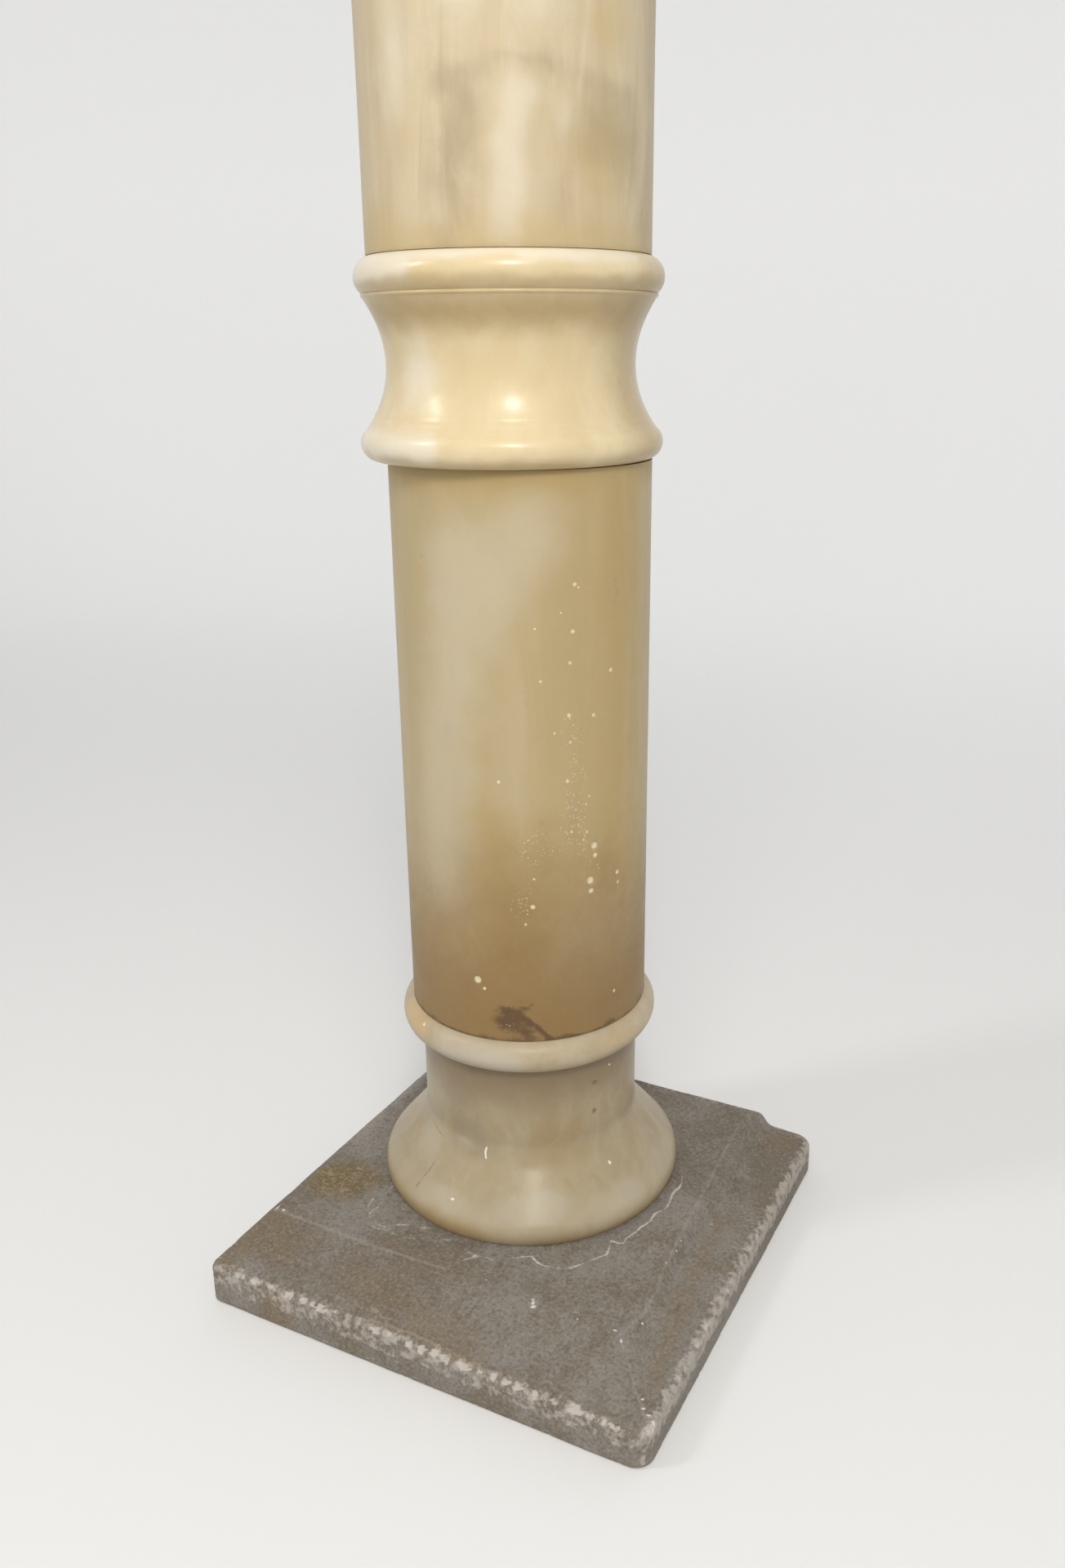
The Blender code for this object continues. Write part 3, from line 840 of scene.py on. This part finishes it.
chipping = {
    "seed": 11, "frontChips": (
        -0.1276, -0.1157, -0.1033, -0.0907, -0.0805, -0.0668, -0.0260, -0.0153, -0.0009, 0.0094, 0.0160,
        0.0238, 0.0386, 0.0494, 0.0575, 0.0748, 0.0846, 0.0979, 0.1108, 0.1180, 0.1265, 0.1340, 0.1383,
        0.1456),
    "frontSize": (0.0022, 0.0050), "besideSize": (0.0014, 0.0034), "beside": 0.005,
    "strays": 60, "straySize": (0.0010, 0.0036), "strayReach": 0.97,
    "cornerChips": (((0.003, 0.003), 0.0055), ((0.002, 0.010), 0.004)),
    "lean": (0.5, 1.2), "inward": 0.30, "depth": (0.22, 0.38), "reach": 2.2, "ragged": 0.90,
    "grain": 0.0016, "fullWear": 0.0006,
}


def arrisDrop(radius, inset):
    return radius - np.sqrt(np.maximum(0.0, radius * radius - np.maximum(0.0, radius - inset) ** 2))


def plinthHeight(x, y, halfX, halfY, field):  # the two low margins, the ridge and the step
    rim = mixed(plinth["leftRim"], plinth["rim"], (x + halfX) / (2 * halfX))
    front = mixed(rim, field, np.minimum(1.0, (y + halfY) / plinth["frontMargin"]))
    ridgeX = halfX - plinth["sideMargin"]
    ridgeY = plinth["frontMargin"] - halfY
    past = np.maximum(0.0, x - ridgeX)
    fall = (1 - np.cos(math.pi * np.minimum(1.0, past / plinth["stepRun"]))) / 2
    beyond = np.maximum(0.0, past - plinth["stepRun"]) / (plinth["sideMargin"] - plinth["stepRun"])
    step = field - (field - plinth["stepFloor"]) * fall - (plinth["stepFloor"] - plinth["rim"]) * beyond
    soft = mixed(plinth["rim"], field, (1 - past / plinth["sideMargin"]) ** 2)
    softness = np.clip(1 - (y - ridgeY) / plinth["stepFade"], 0, 1)
    return np.minimum(front, mixed(step, soft, softness))


def leftWear(y, halfY):
    return mixed(plinth["arris"], plinth["leftArris"], np.clip((halfY - np.abs(y)) / plinth["taper"], 0, 1))


def roundedPlan(x, y, halfX, halfY):
    radius = np.where((x < 0) & (y < 0), plinth["leftCorner"], plinth["corner"])
    a = np.maximum(1e-9, (np.abs(x) - halfX + radius) / radius)
    b = np.maximum(1e-9, (np.abs(y) - halfY + radius) / radius)
    corner = (a > 1e-6) & (b > 1e-6)
    scale = np.where(corner, np.maximum(a, b) / np.hypot(a, b), 1.0)
    newX = np.where(corner, halfX - radius + a * scale * radius, np.abs(x))
    newY = np.where(corner, halfY - radius + b * scale * radius, np.abs(y))
    return np.copysign(newX, x), np.copysign(newY, y)


def curledInset(inset, radius):  # spreads the rows near an edge evenly round its arris
    curled = radius * (1 - np.cos(math.pi / 2 * np.clip(inset / radius, 0, 1)))
    return np.where(inset >= radius, inset, curled)


def slabBlank(name, centre, halfX, halfY):  # a fine grid with its edge drawn down to the floor and closed
    bpy.ops.object.select_all(action="DESELECT")
    bpy.ops.mesh.primitive_grid_add(x_subdivisions=plinth["across"], y_subdivisions=plinth["along"],
                                    size=2, location=centre)
    stone = bpy.context.object
    stone.name = name
    goTo("EDIT")
    bpy.ops.mesh.select_mode(type="EDGE")
    bpy.ops.mesh.select_all(action="DESELECT")
    bpy.ops.mesh.select_non_manifold()
    for row in range(plinth["rows"]):
        drop = (0, 0, -centre[2] / plinth["rows"])
        bpy.ops.mesh.extrude_region_move(TRANSFORM_OT_translate={"value": drop})
    bpy.ops.mesh.edge_face_add()
    bpy.ops.mesh.select_all(action="SELECT")
    bpy.ops.mesh.normals_make_consistent(inside=False)
    bpy.ops.mesh.select_mode(type="VERT")
    goTo("OBJECT")
    bpy.ops.object.transform_apply(location=True, rotation=True, scale=True)
    points = pointsOf(stone) - (centre[0], centre[1], 0)
    crowd = math.radians(plinth["crowding"])
    points[:, 0] = halfX * np.sin(points[:, 0] * crowd) / math.sin(crowd)
    points[:, 1] = halfY * np.sin(points[:, 1] * crowd) / math.sin(crowd)
    points[:, :2] += centre[:2]
    movePoints(stone, points)
    return stone


def shapeSlab(points, centre, halfX, halfY, field):
    level = points[:, 2] / field  # 1 on the top, less down the sides
    x, y = points[:, 0] - centre[0], points[:, 1] - centre[1]
    left = leftWear(y, halfY)
    arris = plinth["arris"]
    x = np.where(x > 0, halfX - curledInset(halfX - x, arris), curledInset(halfX + x, left) - halfX)
    y = np.copysign(halfY - curledInset(halfY - np.abs(y), arris), y)
    nearest = np.minimum(halfX - x, halfY - np.abs(y))
    drop = np.maximum(arrisDrop(left, halfX + x), arrisDrop(arris, nearest))
    z = (plinthHeight(x, y, halfX, halfY, field) - drop) * level
    x, y = roundedPlan(x, y, halfX, halfY)
    tuck = np.where(level < plinth["topLevel"], arrisDrop(plinth["underArris"], z), 0)
    return np.stack([x * (1 - tuck / halfX) + centre[0], y * (1 - tuck / halfY) + centre[1], z], 1)


def chipsOf(centre, halfX, halfY, field):  # place on the arris, outward direction, half width, depth
    rng = np.random.default_rng(chipping["seed"])
    spots = []
    for x in chipping["frontChips"]:
        spots.append(((x, -halfY), rng.uniform(*chipping["frontSize"])))
        besideX = x + rng.uniform(-chipping["beside"], chipping["beside"])
        spots.append(((besideX, -halfY), rng.uniform(*chipping["besideSize"])))
    for stray in range(chipping["strays"]):
        along = rng.uniform(-chipping["strayReach"], chipping["strayReach"])
        size = rng.uniform(*chipping["straySize"])
        side = ((along * halfX, -halfY), (halfX, along * halfY), (along * halfX, halfY),
                (-halfX, along * halfY))[stray % 4]
        spots.append((side, size))
    for (insetX, insetY), size in chipping["cornerChips"]:
        spots.append(((halfX - insetX, -halfY + insetY), size))
    chips = []
    for (x, y), size in spots:
        outward = Vector((x if abs(x) == halfX else 0, y if abs(y) == halfY else 0, 0))
        if outward.length == 0:
            outward = Vector((x, y, 0))
        outward = (outward.normalized() + Vector((0, 0, rng.uniform(*chipping["lean"])))).normalized()
        arris = leftWear(y, halfY) if x == -halfX else plinth["arris"]
        inward = arris * chipping["inward"]
        x = math.copysign(min(abs(x), halfX - inward), x)
        y = math.copysign(min(abs(y), halfY - inward), y)
        top = plinthHeight(x, y, halfX, halfY, field) - inward
        chips.append((np.array((x + centre[0], y + centre[1], top)), np.array(outward), size,
                      size * rng.uniform(*chipping["depth"])))
    return chips


def knockOff(points, chips):  # each chip is a shallow scoop; returns how much stone is gone
    lost = np.zeros(len(points))
    for place, outward, size, depth in chips:
        near = np.flatnonzero(np.linalg.norm(points - place, axis=1) < size * chipping["reach"])
        bowl = (size * size + depth * depth) / (2 * depth)
        middle = place + outward * (bowl - depth)
        gap = points[near] - middle
        away = np.linalg.norm(gap, axis=1)
        edge = bowl + depth * chipping["ragged"] * rough(points[near], chipping["grain"])
        bite = np.maximum(0, edge - away)
        points[near] += gap * (bite / away)[:, None]
        lost[near] = np.maximum(lost[near], bite)
    return lost


def wornEdge(points, centre, halfX, halfY):
    edge = plinthEdge
    x, y, z = points[:, 0] - centre[0], points[:, 1] - centre[1], points[:, 2]
    inset = np.minimum(halfX - np.abs(x), halfY - np.abs(y))
    band = easedAll(1 - np.maximum(inset - edge["start"], 0) / edge["reach"])
    band = band * easedAll((z - edge["low"]) / edge["rise"])
    band = band * np.where(x > halfX - edge["rightStrip"], edge["rightStrength"], 1.0)
    rounded = plinth["corner"] * (1 - math.sqrt(0.5))
    corner = np.hypot(x - halfX + rounded, y + halfY - rounded) / edge["cornerReach"]
    return np.maximum(band, easedAll(edge["cornerStart"] - corner) * edge["cornerStrength"])


def makePlinth():
    low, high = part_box("plinth")
    halfX, halfY, field = (high.x - low.x) / 2, (high.y - low.y) / 2, high.z
    centre = ((high.x + low.x) / 2, (high.y + low.y) / 2, field)
    stone = slabBlank("plinth_slab", centre, halfX, halfY)
    flat = gapsFlat(pointsOf(stone), 0)
    onTop = pointsOf(stone)[:, 2] > field * plinth["topLevel"]
    refine(stone, nearMarks(plinthLines["residue"] + plinthLines["fleck"], flat) & onTop, 1)
    points = shapeSlab(pointsOf(stone), centre, halfX, halfY, field)
    movePoints(stone, points)
    normals = np.empty(points.size, np.float32)
    stone.data.vertices.foreach_get("normal", normals)
    sunk = plinth["swell"] * (0.5 + 0.5 * rough(points, plinth["swellSize"]))
    sunk += plinth["pitting"] * np.maximum(0, rough(points, plinth["pitSize"])) ** 2 * 2
    standing = points[:, 2] > plinth["bedLevel"]
    points -= normals.reshape(-1, 3) * (sunk * standing)[:, None]
    lost = knockOff(points, chipsOf(centre, halfX, halfY, field))
    movePoints(stone, points)
    storeLayer(stone, "wear", np.clip(lost / chipping["fullWear"], 0, 1))
    storeLayer(stone, "edge", wornEdge(points, centre, halfX, halfY))
    onTop = easedAll(normals.reshape(-1, 3)[:, 2] / 0.6)
    paint(stone, gapsFlat(points, plinthBends["ridge"]), plinthRidgeHighlightsAndWear, onTop)
    paint(stone, gapsFlat(points, plinthBends["patch"]), plinthMarks, onTop)
    paint(stone, gapsFlat(points, plinthBends["line"]), plinthLines, onTop)
    paint(stone, gapsFlat(points, plinthBends["patch"]), plinthSides, 1 - onTop)
    setInPlace(stone, "plinth", greyStone())


stoneTones = {
    "body": (0.185, 0.155, 0.119), "cool": (0.240, 0.219, 0.192), "dark": (0.108, 0.085, 0.062),
    "brown": (0.200, 0.151, 0.094), "ochre": (0.175, 0.128, 0.058), "rust": (0.37, 0.285, 0.160),
    "grain": (0.32, 0.290, 0.250), "pale": (0.53, 0.480, 0.435), "chalk": (0.74, 0.69, 0.64),
}


stoneGrain = {"cloud": 0.055, "blotch": 0.011, "grit": 0.0022, "crumb": 0.0050, "fibre": 0.0080}
stoneEdges = {  # as for the alabaster: how ragged, where it starts and is full, and its strongest cover
    "brown": (1.8, 0.10, 1.10, 0.78), "ochre": (1.4, 0.25, 0.85, 1.0), "rust": (1.6, 0.30, 1.0, 0.60),
    "ridge": (1.4, 0.25, 1.0, 0.65), "fleck": (1.1, 0.30, 0.80, 0.88),
}


def greyStone():
    material, start, shader = newFinish("warm grey stone", {"IOR": 1.45, "Specular IOR Level": 0.35})
    spot = start.placed()
    tones, sizes = stoneTones, stoneGrain
    cloud = start.grain(spot, sizes["cloud"], 4, 0.62, 0.4)
    blotch = start.grain(spot, sizes["blotch"], 4, 0.68, 0.3)
    grit = start.grain(spot, sizes["grit"], 2, 0.60)
    crumb = start.grain(spot, sizes["crumb"], 2, 0.5)
    slanted = start.placed(turn=(0, 0, 0.6), stretch=(1, 1.5, 1))
    fibre = start.grain(slanted, sizes["fibre"], 1, 0.3, 1.6)
    ragged = blotch * 0.6 + grit * 0.4 - 0.5
    colour = (cloud + ragged * 0.4).rise(0.38, 0.66).over(tones["body"], tones["cool"])
    colour = (1 - blotch + ragged * 0.3).rise(0.50, 0.80, 0.55).over(colour, tones["dark"])
    brown = brokenEdge(start.layer("brown") + start.layer("sideStain"), ragged, stoneEdges["brown"])
    colour = brown.over(colour, tones["brown"])
    ochre = brokenEdge(start.layer("ochre"), ragged, stoneEdges["ochre"])
    colour = (ochre * 0.90).over(colour, tones["ochre"])
    scratch = (1 - abs(fibre - 0.5).rise(0.004, 0.050)) * ochre
    colour = (scratch * 0.75).over(colour, tones["rust"])
    colour = brokenEdge(start.layer("rust"), ragged, stoneEdges["rust"]).over(colour, tones["rust"])
    colour = grit.rise(0.50, 0.72, 0.50).over(colour, tones["grain"])
    colour = (1 - grit).rise(0.50, 0.72, 0.55).over(colour, tones["dark"])
    # painted highlight along the ridges and the left edge, with two worn corners
    colour = brokenEdge(start.layer("ridge"), ragged, stoneEdges["ridge"]).over(colour, tones["grain"])
    edge = (start.layer("edge") * 0.62 + (crumb - 0.5) * 1.5 + ragged * 1.2).rise(0.42, 0.95, 0.62)
    colour = edge.over(colour, tones["pale"])
    worn = (start.layer("wear") + ragged * 1.7 + (crumb - 0.5) * 1.1).rise(0.22, 0.95, 0.88)
    colour = worn.over(colour, tones["pale"])
    residue = (start.layer("residue") + (blotch - 0.5) * 1.6 + ragged * 0.6).rise(0.34, 0.95, 0.60)
    colour = residue.over(colour, tones["chalk"])
    colour = brokenEdge(start.layer("fleck"), ragged, stoneEdges["fleck"]).over(colour, tones["chalk"])
    relief = blotch * 0.45 + grit * 0.45 + residue * 0.15 + scratch * -0.2
    bump = start.node("Bump", {}, {"Strength": 0.75, "Distance": 0.0010, "Height": relief})
    gloss = 0.62 + ragged * 0.35 + worn * 0.2
    connect(start, shader, {"Base Color": colour, "Roughness": gloss, "Normal": bump})
    return material


# Studio

studio = {
    "floorRadius": 2.3, "bend": 1.0, "wallTop": 3.2, "columns": 96, "cell": 0.06, "floorDrop": 0.0003,
    "innerFloor": 1.0, "paper": (0.84, 0.84, 0.84), "farPaper": (0.70, 0.70, 0.70),
    "sky": (0.72, 0.73, 0.75), "skyStrength": 0.56, "wallGlow": 0.20, "glowHeading": 98,
    "glowEdge": (-0.05, 0.75), "wallEdge": (-0.10, 0.60),
}


def makeStudio():
    seat = {"x": 0.0, "y": 0.0, "bottom": -studio["floorDrop"]}
    floor, bend = studio["floorRadius"], studio["bend"]
    curve = arc(floor, bend, bend, 0, -90, studio["cell"])
    outline = [(floor + bend, studio["wallTop"]), *curve, (studio["innerFloor"], 0), (0, 0)]
    bowl = turnStone("studio_bowl", seat, outline, studio["columns"])
    bpy.ops.object.select_all(action="DESELECT")
    bowl.select_set(True)
    bpy.ops.object.shade_smooth()
    paper, start, shader = newFinish("studio paper", {"Base Color": (*studio["paper"], 1), "Roughness": 0.9,
                                                      "Specular IOR Level": 0.1,
                                                      "Emission Strength": studio["wallGlow"]})
    spot = start.placed()
    heading = math.radians(studio["glowHeading"])
    reach = 1 / (floor + bend)
    behind = start.node("VectorMath", {"operation": "DOT_PRODUCT"},
                        {0: spot, 1: (math.cos(heading) * reach, math.sin(heading) * reach, 0)}, 1)
    backdrop = behind.rise(*studio["glowEdge"])  # the wall glows only behind the column
    wall = start.node("SeparateXYZ", {}, {0: spot}, 2).rise(*studio["wallEdge"])
    connect(start, shader, {"Base Color": (wall * (1 - backdrop)).over(studio["paper"], studio["farPaper"]),
                            "Emission Color": backdrop.over((0, 0, 0), (1, 1, 1))})
    bowl.data.materials.append(paper)
    world = bpy.data.worlds.new("studio light")
    world.use_nodes = True
    sky = world.node_tree.nodes["Background"]
    sky.inputs["Color"].default_value = (*studio["sky"], 1)
    sky.inputs["Strength"].default_value = studio["skyStrength"]
    bpy.context.scene.world = world
    print("studio made")


lampTarget = (-0.0189, 0.0332, 0.58)  # the middle of the column
lamps = {
    "key lamp": {"heading": -60, "rise": 37.5, "away": 2.2, "shape": "DISK", "size": (0.44, 0.44),
                 "power": 18, "colour": (1.0, 0.97, 0.91), "shine": True},
    "broad lamp": {"heading": -62, "rise": 40, "away": 2.2, "shape": "SQUARE", "size": (1.3, 1.3),
                   "power": 22, "colour": (1.0, 0.97, 0.91), "shine": False},
    "left softbox": {"heading": -136, "rise": 32, "away": 2.0, "shape": "RECTANGLE", "size": (0.26, 0.50),
                     "power": 7.5, "colour": (1.0, 0.98, 0.95), "shine": True},
}


def makeLamps():
    for name, lamp in lamps.items():
        data = bpy.data.lights.new(name, "AREA")
        data.shape = lamp["shape"]
        data.size, data.size_y = lamp["size"]
        data.energy = lamp["power"]
        data.color = lamp["colour"]
        heading, rise = math.radians(lamp["heading"]), math.radians(lamp["rise"])
        direction = Vector((math.cos(rise) * math.cos(heading), math.cos(rise) * math.sin(heading),
                            math.sin(rise)))
        light = bpy.data.objects.new(name, data)
        light.visible_glossy = lamp["shine"]
        light.location = Vector(lampTarget) + direction * lamp["away"]
        light.rotation_euler = direction.to_track_quat("Z", "Y").to_euler()
        bpy.context.scene.collection.objects.link(light)
    print("lamps set")


camera = {
    "place": (0.36632, -0.66308, 0.59667), "heading": 26.781, "tilt": 19.085, "roll": -0.275,
    "lens": 29.2587, "sensor": 36, "shiftX": -0.025, "nearest": 0.02,
}


def makeCamera():
    data = bpy.data.cameras.new("photo camera")
    data.lens = camera["lens"]
    data.sensor_width = camera["sensor"]
    data.shift_x = camera["shiftX"]
    data.clip_start = camera["nearest"]
    eye = bpy.data.objects.new("photo camera", data)
    turn = Matrix.Rotation(math.radians(camera["heading"]), 4, "Z")
    tilt = Matrix.Rotation(math.radians(90 - camera["tilt"]), 4, "X")
    roll = Matrix.Rotation(math.radians(camera["roll"]), 4, "Z")
    eye.matrix_world = Matrix.Translation(camera["place"]) @ turn @ tilt @ roll
    bpy.context.scene.collection.objects.link(eye)
    bpy.context.scene.camera = eye
    bpy.context.scene.view_settings.view_transform = "Standard"
    bpy.context.scene.cycles.use_denoising = True
    print("camera set")


makePlinth()
makeFoot()
makeRing("lower_ring", 3, lowerRing)
makeLowerDrum()
makeCollar()
makeUpperDrum()
makeRing("upper_ring", 4, {})
makeCapital()
makeStudio()
makeLamps()
makeCamera()
